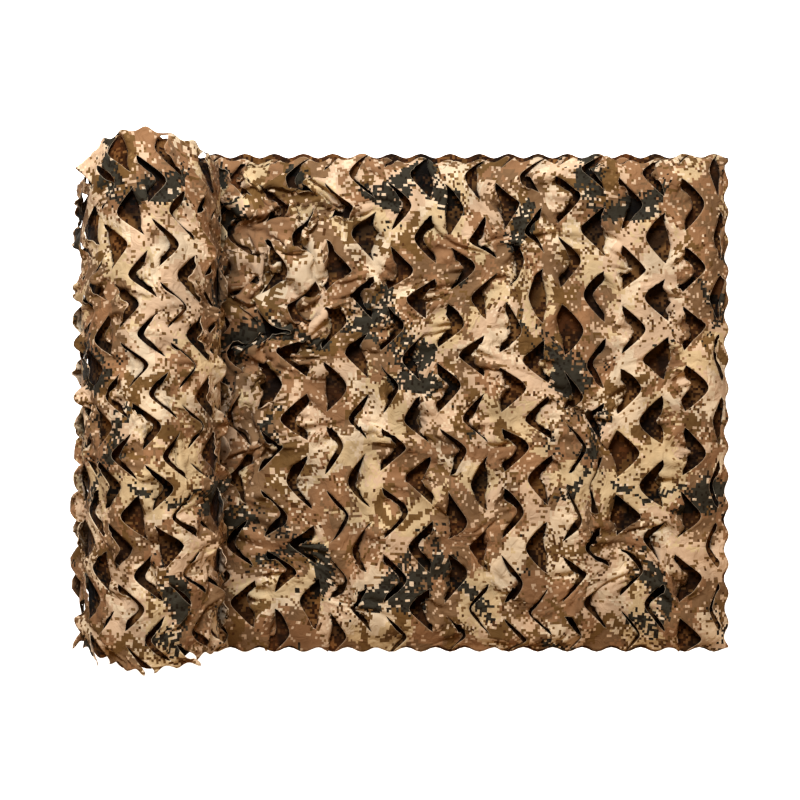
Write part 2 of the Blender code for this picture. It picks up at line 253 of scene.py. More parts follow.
def on_cut(edge, line_at, is_cut):
    """True for a grid edge that lies on a cut."""
    low, high = (vert.co for vert in edge.verts)
    line = line_at(low.x)
    if line is None or abs(low.x - high.x) > TINY:
        return False
    middle = (low.y + high.y) / 2
    near = (math.floor(middle), math.floor(middle) + 1)
    return any(is_cut(line, row) and abs(middle - row) < CUT_REACH for row in near)


def uncut(edge):
    """For a cloth whose cuts lie shut."""
    return False


def lip_side(vert):
    """Which side of a cut a point belongs to: -1 or 1, and 0 away from the cuts."""
    away = sum(face.calc_center_median().x - vert.co.x for face in vert.link_faces)
    return 0 if abs(away) < TINY else int(math.copysign(1, away))


def opposite_corners(mesh):
    """The pairs of corners across each face, and those two edges apart across each inner edge."""
    across, apart = [], []
    for face in mesh.faces:
        a, b, c, d = (vert.index for vert in face.verts)
        across += [(a, c), (b, d)]
    for edge in mesh.edges:
        if len(edge.link_faces) != 2:
            continue
        for vert in edge.verts:
            ends = []
            for face in edge.link_faces:
                ends += [e.other_vert(vert).index for e in vert.link_edges if e != edge and e in face.edges]
            if len(ends) == 2:
                apart.append(ends)
    return across, apart


def settle(mesh, flats, points, lengths, keep_out):
    """Moves the points until every edge has nearly its flat length, as cloth does.

    lengths(x, y) gives the cloth's length to the laid length, along x and along y, and how far the point is
    held, where 1 stays. keep_out moves points out of what they may not pass.
    """
    mesh.verts.index_update()
    across, apart = opposite_corners(mesh)
    edges = [(edge.verts[0].index, edge.verts[1].index) for edge in mesh.edges]
    first, second = numpy.array(edges + across + apart).T
    strengths = (1.0, DIAGONAL_STRENGTH, BEND_STRENGTH)
    strength = numpy.repeat(strengths, (len(edges), len(across), len(apart)))
    given = numpy.array([lengths(*flat) for flat in flats])
    flat, place, scale, held = numpy.array(flats), numpy.array(points), given[:, :2], given[:, 2]
    rest = numpy.linalg.norm((flat[second] - flat[first]) * (scale[first] + scale[second]) / 2, axis=1)
    bent = slice(len(edges) + len(across), None)
    shaped = numpy.linalg.norm(place[second] - place[first], axis=1)
    rest[bent] += SHAPE_MEMORY * (numpy.minimum(shaped, rest)[bent] - rest[bent])
    count = len(place)
    load = numpy.bincount(first, strength, count) + numpy.bincount(second, strength, count)
    step_share = (RELAX * (1 - held) / load)[:, None]
    for _ in range(STEPS):
        gap = place[second] - place[first]
        length = numpy.maximum(numpy.linalg.norm(gap, axis=1), TINY)
        pull = (gap * (strength * (length - rest) / length)[:, None]).T
        move = [numpy.bincount(first, part, count) - numpy.bincount(second, part, count) for part in pull]
        place += numpy.stack(move, axis=1) * step_share
        keep_out(place)
    return place


def make_cloth(name, columns, rows, is_open, shape, material, lengths=None, keep_out=None):
    """A cloth from its flat grid, cut along the edges that is_open picks.

    shape(place, row, side) gives (the flat cloth's x and y, the point). A cloth with lengths is settled.
    """
    mesh = bmesh.new()
    last_column, last_row = len(columns) - 1, len(rows) - 1
    bmesh.ops.create_grid(mesh, x_segments=last_column, y_segments=last_row, size=0.5)
    for vert in mesh.verts:
        column = round((vert.co.x + 0.5) * last_column)
        row = round((vert.co.y + 0.5) * last_row)
        vert.co = (columns[column], rows[row], 0.0)
    bmesh.ops.split_edges(mesh, edges=[edge for edge in mesh.edges if is_open(edge)])
    lip = mesh.verts.layers.float.new("cut_edge")
    print_map = mesh.loops.layers.uv.new("Print")
    flats, points = zip(*(shape(vert.co.x, vert.co.y, lip_side(vert)) for vert in mesh.verts))
    if lengths:
        points = settle(mesh, flats, points, lengths, keep_out)
    for vert, flat, point in zip(mesh.verts, flats, points):
        vert[lip] = 1.0 if vert.is_boundary else 0.0
        for loop in vert.link_loops:
            loop[print_map].uv = flat
        vert.co = point
    data = bpy.data.meshes.new(name)
    mesh.to_mesh(data)
    mesh.free()
    data.shade_smooth()
    data.materials.append(material)
    obj = bpy.data.objects.new(name, data)
    bpy.context.scene.collection.objects.link(obj)
    wall = obj.modifiers.new("Cloth", "SOLIDIFY")
    wall.thickness = SCENE_THICK
    wall.offset = 0
    return obj


# ---------------------------------------------------------------- the loose end

UPPER_COLUMNS = 10  # to a pitch of the cuts
LOWER_COLUMNS = 6  # to a pitch, and to a row

# The upper ply's loft, and where the roll presses it
LOFT = 0.038
RIM_LOFT = 0.003
RIM_FADE = 0.075
PRESS_FROM = 0.060
PRESS_TO = 0.230
UPPER_LIMIT = 0.064  # no point of it settles higher
WEIGHT = 0.00001  # what it sinks at each step of its settling
LOWER_SWELL = 0.0006  # kept low, so that the lower ply stays clear of the upper one
LOWER_RIPPLE = ((1.0, 0.16, 5),)

# x, y, reach, height
SWELLS = (
    (-0.42, 0.56, 0.14, 0.008),
    (-0.20, 0.40, 0.18, 0.008),
    (0.16, 0.60, 0.14, 0.010),
    (0.62, 0.55, 0.18, 0.007),
    (0.10, 0.05, 0.24, 0.005),
    (0.55, -0.02, 0.20, 0.007),
    (0.82, 0.18, 0.16, 0.006),
    (-0.28, -0.10, 0.18, 0.005),
    (0.34, -0.36, 0.22, 0.006),
    (0.76, -0.50, 0.20, 0.007),
    (-0.34, -0.58, 0.20, -0.012),
    (0.24, -0.68, 0.18, -0.012),
)
# Where its cuts are spread wider, or less: x, y, reach, change
SPREADS = (
    (-0.36, 0.55, 0.26, 0.45),
    (-0.48, 0.30, 0.16, 0.40),
    (0.12, 0.55, 0.24, 0.40),
    (0.36, 0.36, 0.30, 0.35),
    (0.70, 0.30, 0.24, 0.20),
    (-0.20, 0.02, 0.22, 0.25),
    (0.12, -0.34, 0.20, 0.45),
    (0.84, -0.10, 0.16, 0.30),
    (-0.34, -0.46, 0.30, -0.50),
    (0.30, -0.66, 0.22, -0.55),
    (0.62, -0.64, 0.28, -0.45),
    (0.58, -0.40, 0.22, -0.40),
    (0.00, -0.62, 0.20, -0.30),
)
LEAST_SPREAD = 0.1
# Where it is crumpled: x, y, reach, share
CRUMPLES = (
    (-0.40, 0.60, 0.22, 0.85),
    (-0.40, 0.36, 0.22, 0.75),
    (0.02, -0.28, 0.14, 0.45),
    (0.54, 0.56, 0.13, 0.35),
    (0.22, 0.02, 0.12, 0.30),
    (0.80, -0.52, 0.10, 0.25),
)
# It is crumpled in a strip beside the roll too, which fades out towards -Y.
STRIP_X, STRIP_REACH, STRIP_SHARE = -0.46, 0.13, 0.60
STRIP_FROM_Y, STRIP_FADE = -0.5, 0.4

# Its unevenness, each as height, size and draw
CRUMPLE_HEIGHTS = ((0.085, 0.055, 31), (0.080, 0.032, 36))
CRUMPLE_SINK = 0.014
CRUMPLE_X, CRUMPLE_Y = ((0.058, 0.05, 32),), ((0.058, 0.05, 33),)
BROAD_RIPPLE = ((0.010, 0.09, 1),)
DRIFT_X = ((0.055, 0.26, 3), (0.034, 0.12, 15))
DRIFT_Y = ((0.045, 0.26, 4), (0.030, 0.12, 16))
HEM_RIPPLE = ((1.6, 0.13, 35),)
OPENING_RIPPLE = ((0.7, 0.17, 34),)

SHEET_CREASES_DRAW = 2
CREASE_DEPTH, TONGUE_CREASE_DEPTH = 0.006, 0.022  # all over, and more in the strips that carry the tongues
GATHER_HEIGHT = 0.016
RIBBON_RISE = 0.004  # of the strips between the tongues
LIP_RISE = 0.009  # of the ribbon beside an open cut
LIP_CURL, LIP_CURL_REACH = 0.006, 0.018  # how its edge curls down
TONGUE_CLEAR = 0.002  # the least height over the lower ply
# A tongue's fold starts this far out from its chord: at most, more towards one end, and waving
FOLD_OUT, FOLD_SLANT, FOLD_WAVE = 0.020, 0.016, 0.008
OPEN_FADE = 0.55 * CUT_PITCH  # the cuts shut within this of the loose end
FAR_HEM_DRAWN, NEAR_HEM_DRAWN = 0.016, 0.005

# How the upper ply is settled
INNER_FADE = 0.10
SPREAD_STRETCH = 0.8
CRUMPLE_SLACK = 0.40
HELD_RIM, HELD_FADE = 0.004, 0.05  # its edges stay in place
LET_GO = 3  # how fast it is let go as it comes clear of the roll


def sheet_line(place):
    """The number of the wave at this place along the loose end, if one is there."""
    number = (LAST_LINE - place) / CUT_PITCH
    line = round(number)
    return line if abs(number - line) < ON_LINE and 0 <= line < SHEET_LINES else None


def sheet_cut(line, row):
    return 0 <= row < SHEET_ROWS and (line + row) % 2 == 1


def sheet_open(edge):
    return on_cut(edge, sheet_line, sheet_cut)


def sheet_row(y):
    return (y - FIRST_ROW_Y) / ROW_PITCH


def sheet_grid(columns_to_pitch, steps):
    """(places along the cloth, rows across it) of a ply, in whole columns from the loose end."""
    step = CUT_PITCH / columns_to_pitch
    count = math.ceil((RIGHT_EDGE - TAIL_START) / CUT_PITCH * columns_to_pitch)
    columns = [TAIL_START] + [RIGHT_EDGE - step * (count - n) for n in range(1, count + 1)]
    return columns, row_places(sheet_row(-HALF_WIDTH), sheet_row(HALF_WIDTH), steps)


def trimmed(x, y):
    """The flat cloth's point after its edge is cut to scallops, which draws nearby points in with it."""
    end, rim = edge_pull(RIGHT_EDGE - x), edge_pull(HALF_WIDTH - abs(y))
    return x - end * scallop(y + CUT_PITCH / 2), y - math.copysign(rim * scallop(x - LAST_LINE), y)


def clear_of_roll(x):
    """0 where the roll presses the plies flat, and 1 where it doesn't."""
    return smooth((x - AXIS_X - PRESS_FROM) / (PRESS_TO - PRESS_FROM))


def loft_at(x, y):
    """(the upper ply's height, how clear it is of the roll, how clear of its edges)."""
    free = clear_of_roll(x)
    rise = smooth(min(HALF_WIDTH - abs(y), RIGHT_EDGE - x) / RIM_FADE)
    height = RIM_LOFT + (LOFT - RIM_LOFT + table_sum(SWELLS, x, y)) * rise
    return height * free, free, rise


def crumple(x, y):
    """How crumpled the cloth lies here: most in the corner by the roll."""
    strip = STRIP_SHARE * math.exp(-(((x - STRIP_X) / STRIP_REACH) ** 2))
    return min(1.0, table_sum(CRUMPLES, x, y) + strip * smooth((y - STRIP_FROM_Y) / STRIP_FADE))


def upper_shape(place, rows, side):
    near_edge = smooth((RIGHT_EDGE - place) / CUT_PITCH)
    opened = smooth((RIGHT_EDGE - place) / OPEN_FADE)
    flat_x, flat_y = place + wave(rows) * near_edge, FIRST_ROW_Y + rows * ROW_PITCH
    flat = trimmed(flat_x, flat_y)
    x, y = flat
    height, free, rise = loft_at(x, y)
    spread = max(LEAST_SPREAD, 1 + table_sum(SPREADS, x, y))
    along = (LAST_LINE - place) / CUT_PITCH
    height -= RIBBON_RISE * free * near_edge * math.sin(math.pi * along)
    for line, row, span, off in cuts_near(along, rows, sheet_cut):
        turn, radius, back = tongue_lie(line, row, spread)
        tongue, ribbon = bend(side, row, rows, -off, CUT_PITCH)
        turn *= free * opened * (1 + TONGUE_TWIST * span * uneven(line, row, TWIST_DRAW))
        fold = FOLD_OUT * chance(line, row, CREASE_DRAW) + FOLD_SLANT * span * uneven(line, row, SLANT_DRAW)
        fold += FOLD_WAVE * math.cos(4 * span + 6.3 * chance(line, row, CREASE_WAVE_DRAW))
        length = max(0.0, tongue * TONGUE_LENGTH - fold * tongue)
        there, down = folded(length, max(turn, LEAST_TURN), radius)
        lift = LIP_RISE * spread * (0.4 + 1.2 * chance(line, row, LIFT_DRAW))
        curl = (1 - span * span) * max(0.0, 1 - abs(off) * CUT_PITCH / LIP_CURL_REACH) ** 2
        height -= free * LIP_CURL * curl
        height += free * lift * ribbon - down
        x += tongue_side(row) * (length - there + free * opened * back * tongue**BACK_CURVE)
    inside = free * rise
    rough = inside * crumple(x, y)
    height += rough * (ripples(x, y, CRUMPLE_HEIGHTS) - CRUMPLE_SINK)
    x += rough * ripples(flat_x, flat_y, CRUMPLE_X)
    y += rough * ripples(flat_x, flat_y, CRUMPLE_Y)
    tongued = 0.5 + 0.5 * math.sin(math.pi * along)  # 1 in the strips that carry the tongues, 0 in the others
    crease = (CREASE_DEPTH + TONGUE_CREASE_DEPTH * tongued) * creases(flat_x, flat_y, SHEET_CREASES_DRAW)
    height += inside * (ripples(x, y, BROAD_RIPPLE) + crease)
    height += inside * GATHER_HEIGHT * gathers(along, rows, sheet_cut, CUT_PITCH, ROW_PITCH)
    x += inside * ripples(flat_x, flat_y, DRIFT_X)
    y += inside * ripples(flat_x, flat_y, DRIFT_Y)
    drawn = (FAR_HEM_DRAWN if y > 0 else NEAR_HEM_DRAWN) * max(0.0, 0.5 + ripples(flat_x, flat_y, HEM_RIPPLE))
    y -= math.copysign(smooth(1 - (HALF_WIDTH - abs(flat_y)) / EDGE_PULL) * drawn, y)
    return flat, (x, y, UPPER_REST + max(TONGUE_CLEAR * free, height))


def upper_lengths(x, y):
    """What settle needs of the upper ply: opened cuts lengthen it, and crumpled cloth lies slack."""
    free = clear_of_roll(x)
    inner = smooth((HALF_WIDTH - abs(y)) / INNER_FADE) * free
    spread = 1 + SPREAD_STRETCH * table_sum(SPREADS, x, y) + ripples(x, y, OPENING_RIPPLE)
    open_by = (1 - STRETCH) * max(LEAST_SPREAD, spread)
    slack = CRUMPLE_SLACK * crumple(x, y) * inner
    rim = min(HALF_WIDTH - abs(y), RIGHT_EDGE - x)
    held = 1 - smooth((rim - HELD_RIM) / HELD_FADE) * smooth(free * LET_GO)
    return 1 - open_by * inner + slack, 1 + (GATHER - 1) * inner + slack, held


def upper_keep_out(place):
    """Lets the upper ply sink a little, but not into the lower one."""
    place[:, 2] -= WEIGHT
    numpy.clip(place[:, 2], UPPER_REST, UPPER_LIMIT, out=place[:, 2])


def add_upper_ply(material):
    columns, rows = sheet_grid(UPPER_COLUMNS, ROW_STEPS)
    obj = make_cloth(
        "upper_cloth", columns, rows, sheet_open, upper_shape, material, upper_lengths, upper_keep_out
    )
    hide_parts("upper_ply")
    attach(obj, "root")


def lower_shape(place, rows, side):
    flat = trimmed(place, FIRST_ROW_Y + rows * ROW_PITCH)
    x, y = flat
    rim = smooth(min(HALF_WIDTH - abs(y), RIGHT_EDGE - x) / INNER_FADE)
    height = clear_of_roll(x) * rim * LOWER_SWELL * (1 + ripples(x, y, LOWER_RIPPLE))
    return flat, (x, y, CLOTH_THICK / 2 + height)


def add_lower_ply(material):
    columns, rows = sheet_grid(LOWER_COLUMNS, [n / LOWER_COLUMNS for n in range(LOWER_COLUMNS)])
    obj = make_cloth("lower_cloth", columns, rows, uncut, lower_shape, material)
    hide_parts("lower_ply")
    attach(obj, "root")


# ---------------------------------------------------------------- the roll

ROLL_COLUMNS = 9  # to a wave
ROLL_LIMIT = ROLL_OUTER + 0.010
ROLL_LENGTH_LIMIT = HALF_WIDTH + 0.030
END_FROM = 0.375 * CLOTH_WIDTH  # the roll's ends are looser from here out
BED_ANGLE = math.radians(25)  # to each side of the bottom, the roll lies pressed
BED_FADE = math.radians(25)

# How far the roll's ends stand out: at the crest or the bottom, less this much down the flanks, and the
# power of the angle's sine by which that grows
UNDER_BOW = (-0.015, 0.055, 1)
FAR_BOW = (0.016, 0.084, 2.5)
NEAR_BOW = (-0.002, 0.050, 2)
END_SKEW = 0.009

ROLL_UNEVEN = 0.0035
ROLL_SPREAD = 1.1
ROLL_SCALLOP = 1.2
# The share of the tongues that stand out: at the crest, and more down the flanks and at the near end
RAISED_SHARE, FLANK_RAISED, NEAR_END_RAISED = 0.30, 0.55, 0.4
RAISED_TURN, RAISED_TURN_MORE = 20, 16  # in degrees
RAISED_RADIUS = 0.05
RAISED_BY = 1.9
RAISED_RIBBON_SINK = 0.004
TUCKED_RIBBON_RISE = 0.007

# The roll's unevenness, each as height, size and draw
ROLL_RIPPLE = ((0.008, 0.09, 6),)
ROLL_CREASES_DRAW = 8
ROLL_CREASE_DEPTH, ROLL_TONGUE_CREASE_DEPTH = 0.004, 0.014
ROLL_SINK = 0.006
ROLL_GATHER_HEIGHT = 0.011
END_LONG_LUMPS, END_LUMPS = ((0.022, 0.07, 17),), ((0.030, 0.045, 37),)
END_TURNED_IN, END_TURNED_FROM, END_TURNED_FADE = 0.018, 0.66, 0.09
ROLL_SLIDE = ((0.014, 0.2, 9), (0.007, 0.09, 18))
END_RAGGED, END_LONG_RAGGED = ((0.020, 0.045, 38),), ((0.022, 0.09, 20),)
ROLL_DRIFT = ((0.010, 0.2, 19),)
ALONG_SQUEEZE = 0.3  # long lumps are this much finer round the roll than along it

# The turns inside the outer one
TURNS = 6
TURN_COLUMNS = 90
MIDDLE_ROWS = range(-6, 7)
END_ROWS, END_ROW_STEP = 8, 0.15  # the closer rows at each end
WOUND_INSET = 0.020
WOUND_FLANK = 0.012  # further out at the flanks
WOUND_STEP = 0.021  # from turn to turn
WOUND_CLEAR = 0.005  # what the outer turn's tongues keep clear of them
WOUND_END_IN = 0.012
WOUND_END_RAGGED = ((0.018, 0.14, 12),)
WOUND_END_RIPPLE, WOUND_RIPPLE = ((0.006, 0.08, 13),), ((0.004, 0.10, 14),)


def roll_line(place):
    line = round(place)
    return line if abs(place - line) < ON_LINE else None


def roll_cut(line, row):
    return 0 < line < ROLL_WAVES and 0 <= row <= ROLL_LAST_ROW and (line + row) % 2 == 1


def roll_open(edge):
    """The cuts stop short of the far hem."""
    tied = edge.verts[0].co.y > ROLL_MIDDLE_ROW and any(vert.is_boundary for vert in edge.verts)
    return on_cut(edge, roll_line, roll_cut) and not tied


def clear_of_bed(angle):
    """0 where the roll lies on the plies, and 1 where it doesn't."""
    return smooth((abs(angle) - BED_ANGLE) / BED_FADE)


def near_end(y):
    """0 along the roll and 1 at its ends."""
    return smooth((abs(y) - END_FROM) / (HALF_WIDTH - END_FROM))


def end_share(angle, y):
    """The roll's length here to its length at rest. It stands out at the crest and draws in at the flanks."""
    under = math.cos(angle) > 0
    crest, drawn, power = UNDER_BOW if under else FAR_BOW if y > 0 else NEAR_BOW
    bow = crest - drawn * abs(math.sin(angle)) ** power
    return 1 + (bow - END_SKEW * math.sin(angle)) / HALF_WIDTH


def wound_radius(turned):
    """The radius of the inner turns after this many turns inwards, from under the roll."""
    flank = WOUND_FLANK * numpy.sin(2 * math.pi * turned) ** 4
    return ROLL_RADIUS - WOUND_INSET + flank - WOUND_STEP * turned


def wound_length(turned):
    """The flat length of that many inner turns."""
    return 2 * math.pi * (ROLL_RADIUS - WOUND_INSET - WOUND_STEP / 2 * turned) * turned


def roll_shape(place, rows, side):
    y = (rows - ROLL_MIDDLE_ROW) * ROLL_ROW_PITCH
    swing = wave(rows) - ROLL_LEAN * y
    angle = math.remainder(2 * math.pi * place / ROLL_WAVES + swing / ROLL_RADIUS, 2 * math.pi)
    free, end, run = clear_of_bed(angle), near_end(y), place * ROLL_PITCH
    trim = edge_pull(HALF_WIDTH - abs(y)) * ROLL_SCALLOP * scallop(place * CUT_PITCH)
    flat = (run + swing, y - math.copysign(trim, y))
    out = ROLL_UNEVEN * (math.sin(2 * angle + 0.6) + math.sin(3 * angle + 7 * y))
    slide = 0.0
    raised = RAISED_SHARE + FLANK_RAISED * abs(math.sin(angle)) ** 3 + (NEAR_END_RAISED * end if y < 0 else 0)
    for line, row, span, off in cuts_near(place, rows, roll_cut):
        tongue, ribbon = bend(side, row, rows, off, ROLL_PITCH)
        turn, radius, back = tongue_lie(line, row, ROLL_SPREAD)
        length = tongue * TONGUE_LENGTH
        twist = free * (1 + TONGUE_TWIST * span * uneven(line, row, ROLL_TWIST_DRAW))
        if chance(line, row, RAISED_DRAW) < raised:
            turn = math.radians(RAISED_TURN + RAISED_TURN_MORE * chance(line, row, RAISED_TURN_DRAW))
            out += RAISED_BY * folded(length, turn * twist, RAISED_RADIUS)[1] - RAISED_RIBBON_SINK * ribbon
            there = length
        else:
            there, down = folded(length, max(LEAST_TURN, turn * twist), radius)
            out += TUCKED_RIBBON_RISE * chance(line, row, LIFT_DRAW) * ribbon - down
        slide += tongue_side(row) * (length - there + free * back * tongue**BACK_CURVE)
    tongued = 0.5 - 0.5 * math.sin(math.pi * place)
    crease = (ROLL_CREASE_DEPTH + ROLL_TONGUE_CREASE_DEPTH * tongued) * creases(run, y, ROLL_CREASES_DRAW)
    out += ripples(run, y, ROLL_RIPPLE) + crease - ROLL_SINK
    out += ROLL_GATHER_HEIGHT * gathers(place, rows, roll_cut, ROLL_PITCH, ROLL_ROW_PITCH)
    out += end * (ripples(run, ALONG_SQUEEZE * y, END_LONG_LUMPS) + ripples(run, y, END_LUMPS))
    out -= END_TURNED_IN * smooth((abs(y) - END_TURNED_FROM) / END_TURNED_FADE)
    slide += ripples(run, y, ROLL_SLIDE)
    angle += slide * free / ROLL_RADIUS
    ragged = end * (abs(ripples(run, y, END_RAGGED)) + abs(ripples(run, ALONG_SQUEEZE * y, END_LONG_RAGGED)))
    along = flat[1] * end_share(angle, y) + free * (ripples(run, y, ROLL_DRIFT) + math.copysign(ragged, y))
    radius = min(ROLL_RADIUS + free * out, ROLL_LIMIT)
    x, z = AXIS_X - radius * math.sin(angle), AXIS_Z - radius * math.cos(angle)
    return flat, (x, along, max(z, ROLL_BED))


def roll_lengths(x, y):
    """What settle needs of the roll's outer turn."""
    angle = math.remainder(x / ROLL_RADIUS, 2 * math.pi)
    free = clear_of_bed(angle)
    return 1 - (1 - ROLL_STRETCH) * free, end_share(angle, y) * (1 + (GATHER - 1) * free), 1 - free


def roll_keep_out(place):
    """Keeps the outer turn out of the inner ones and of the plies under it, and inside the part's box."""
    side, up = place[:, 0] - AXIS_X, place[:, 2] - AXIS_Z
    radius = numpy.hypot(side, up)
    turned = numpy.arctan2(side, -up) / (2 * math.pi) % 1.0
    share = numpy.clip(radius, wound_radius(turned) + WOUND_CLEAR, ROLL_LIMIT) / radius
    place[:, 0], place[:, 2] = AXIS_X + side * share, numpy.maximum(AXIS_Z + up * share, ROLL_BED)
    numpy.clip(place[:, 1], -ROLL_LENGTH_LIMIT, ROLL_LENGTH_LIMIT, out=place[:, 1])


def add_roll(material):
    columns = [n / ROLL_COLUMNS for n in range(ROLL_COLUMNS * ROLL_WAVES + 1)]
    half_rows = HALF_WIDTH / ROLL_ROW_PITCH
    rows = row_places(ROLL_MIDDLE_ROW - half_rows, ROLL_MIDDLE_ROW + half_rows, ROW_STEPS)
    obj = make_cloth("roll_turn", columns, rows, roll_open, roll_shape, material, roll_lengths, roll_keep_out)
    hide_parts("roll")
    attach(obj, "root")


def wound_shape(place, rows, side):
    """The inner turns: place counts turns inwards, and rows runs along the roll."""
    angle, y = 2 * math.pi * place, rows * ROW_PITCH
    end, run = near_end(y), wound_length(place)
    ragged = abs(ripples(run, y, WOUND_END_RAGGED)) - WOUND_END_IN
    trim = edge_pull(HALF_WIDTH - abs(y)) * scallop(run)
    along = y * end_share(angle, y) + math.copysign(1, y) * (end * ragged - trim)
    radius = wound_radius(place) + end * ripples(run, y, WOUND_END_RIPPLE) + ripples(run, y, WOUND_RIPPLE)
    return (run, y), (AXIS_X + radius * math.sin(angle), along, AXIS_Z - radius * math.cos(angle))


def add_wound(material):
    columns = [n / TURN_COLUMNS for n in range(TURNS * TURN_COLUMNS + 1)]
    half = HALF_WIDTH / ROW_PITCH
    ends = [half - n * END_ROW_STEP for n in range(END_ROWS)]
    rows = sorted([-place for place in ends] + ends + list(MIDDLE_ROWS))
    obj = make_cloth("roll_inner", columns, rows, uncut, wound_shape, material)
    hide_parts("roll")
    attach(obj, "root")


# ---------------------------------------------------------------- materials

MIX_A, MIX_B, MIX_RESULT = 6, 7, 2  # a Mix node's colour sockets, whose names are also those of others

CELL = 0.0074  # a pixel of the print
PRINT_COLOURS = {
    "sand": "cbb194",
    "pale sand": "d7c4a7",
    "straw": "cbb58f",
    "brown": "84684a",
    "red brown": "977453",
    "khaki": "765a34",
    "dull sand": "8a6c46",
    "slate": "3f3b30",
    "dark brown": "5a3c1f",
    "black": "2c2419",
    "cream": "dcc8ac",
}
PRINT_GRIDS = {"cell": (1, 1), "dash": (2, 1), "block": (2, 2)}  # cells along and across
# A number from 0 to 1 for each field of a grid: the grid, and where in the noise it is taken
PRINT_SPECKS = {
    "fine grain": ("cell", 1.0),
    "coarse grain": ("block", 2.0),
    "dots": ("cell", 5.0),
    "dashes": ("dash", 7.0),
    "mixed": ("cell", 13.0),
}
FINE_DITHER, COARSE_DITHER = 0.055, 0.06  # how far the grains roughen the patches' edges
# Blotches: the grid, their size, where in the noise they are taken, and their share of the dither
PRINT_PATCHES = {
    "pale": ("block", 0.22, 3.0, 1.0),
    "straw": ("block", 0.30, 91.0, 1.0),
    "earth": ("cell", 0.20, 21.0, 1.0),
    "rust": ("block", 0.15, 71.0, 1.0),
    "olive": ("cell", 0.12, 11.0, 1.0),
    "busy": ("cell", 0.13, 61.0, 1.0),
    "ink": ("cell", 0.23, 41.0, 0.9),
}
BROWN_FROM = 0.51
BROWN_RIM = 0.020  # how near to that level a brown patch's rim reaches
# Beside the roll the brown patches spread: partly a darker zone of the print, partly painted shade from the
# roll and the crumpled cloth there.
BROWN_AND_SHADE_BY_ROLL = 0.085  # what the brown gains beside the roll, between the next two places along the cloth
BROWN_AND_SHADE_FROM, BROWN_AND_SHADE_TO = -0.55, -0.10

# The tint of a cloth's print, the least and most of it from place to place, and the level from which the
# print is busy.
# The first is the cloth in the light: no tint, and a tone that differs a little at random. The second is
# painted shade for the cloth inside the roll and under the loose end: its tint darkens and browns the print,
# and its least and most make that painted shade deeper in some patches than in others.
LIT = ((1, 1, 1), 0.84, 1.06, 0.64)
PAINTED_SHADE = ((0.31, 0.19, 0.085), 0.22, 1.15, 0.46)

SHADE_SIZE, SHADE_SEED = 0.10, 81.0
TONE_PATCH_SCALE = 9.0  # patches of darker and lighter tone are about 110 mm across
FRAY_AND_HIGHLIGHT = 0.55  # how pale the raw edges are: partly their fraying, partly a painted highlight along the cut edges
CRINKLE_SCALE = 34.0  # crinkles are about 30 mm across
CRINKLE_DEPTH = 0.008
THREAD_SCALE = 210.0  # threads 1.5 mm apart. The real ones are closer, too fine to show in the render.
THREAD_DEPTH = 0.0003


def colour(code):
    """A sRGB hex code as linear RGBA."""
    parts = [int(code[n : n + 2], 16) / 255 for n in (0, 2, 4)]
    linear = [part / 12.92 if part < 0.04045 else ((part + 0.055) / 1.055) ** 2.4 for part in parts]
    return (*linear, 1.0)


def add(tree, kind, sockets=(), **settings):
    """Adds a node. sockets gives its inputs: a value, or another node's output to link."""
    made = tree.nodes.new(kind)
    for key, value in settings.items():
        setattr(made, key, value)
    for key, value in dict(sockets).items():
        if isinstance(value, bpy.types.NodeSocket):
            tree.links.new(value, made.inputs[key])
        else:
            made.inputs[key].default_value = value
    return made


def blotches(tree, place, size, seed):
    """Smooth noise with blotches of this size."""
    moved = add(tree, "ShaderNodeVectorMath", {0: place, 1: (seed, seed * 0.7, 0.0)}, operation="ADD")
    noisy = add(tree, "ShaderNodeTexNoise", {
        "Vector": moved.outputs["Vector"],
        "Scale": 1 / size, "Detail": 2.5, "Roughness": 0.55, "Distortion": 0.4,
    }, noise_dimensions="2D")
    return noisy.outputs["Fac"]


def print_patterns(tree, flat):
    """The patterns that the print's layers are cut from, by name."""
    grids, patterns = {}, {}
    for name, (long, wide) in PRINT_GRIDS.items():
        snapped = add(tree, "ShaderNodeVectorMath", {
            0: flat, 1: (long * CELL, wide * CELL, 1.0),
        }, operation="SNAP")
        grids[name] = snapped.outputs["Vector"]
    for name, (grid, seed) in PRINT_SPECKS.items():
        moved = add(tree, "ShaderNodeVectorMath", {
            0: grids[grid], 1: (seed, seed * 1.3, 0.0),
        }, operation="ADD")
        speck = add(tree, "ShaderNodeTexWhiteNoise", {
            "Vector": moved.outputs["Vector"],
        }, noise_dimensions="2D")
        patterns[name] = speck.outputs["Value"]
    fine = add(tree, "ShaderNodeMath", {
        0: patterns["fine grain"], 1: FINE_DITHER, 2: -(FINE_DITHER + COARSE_DITHER) / 2,
    }, operation="MULTIPLY_ADD")
    dither = add(tree, "ShaderNodeMath", {
        0: patterns["coarse grain"], 1: COARSE_DITHER, 2: fine.outputs["Value"],
    }, operation="MULTIPLY_ADD")
    for name, (grid, size, seed, share) in PRINT_PATCHES.items():
        rough = add(tree, "ShaderNodeMath", {
            0: dither.outputs["Value"], 1: share, 2: blotches(tree, grids[grid], size, seed),
        }, operation="MULTIPLY_ADD")
        patterns[name] = rough.outputs["Value"]
    apart = add(tree, "ShaderNodeSeparateXYZ", {"Vector": flat})
    # Partly painted shade beside the roll: the brown spreads there.
    brown_and_shade = add(tree, "ShaderNodeMapRange", {
        "Value": apart.outputs["X"],
        "From Min": BROWN_AND_SHADE_FROM, "From Max": BROWN_AND_SHADE_TO, "To Min": BROWN_AND_SHADE_BY_ROLL, "To Max": 0.0,
    })
    earth = add(tree, "ShaderNodeMath", {0: patterns["earth"], 1: brown_and_shade.outputs["Result"]}, operation="ADD")
    rim = add(tree, "ShaderNodeMath", {
        0: earth.outputs["Value"], 1: BROWN_FROM, 2: BROWN_RIM,
    }, operation="COMPARE")
    patterns["earth"], patterns["rim"] = earth.outputs["Value"], rim.outputs["Value"]
    return patterns


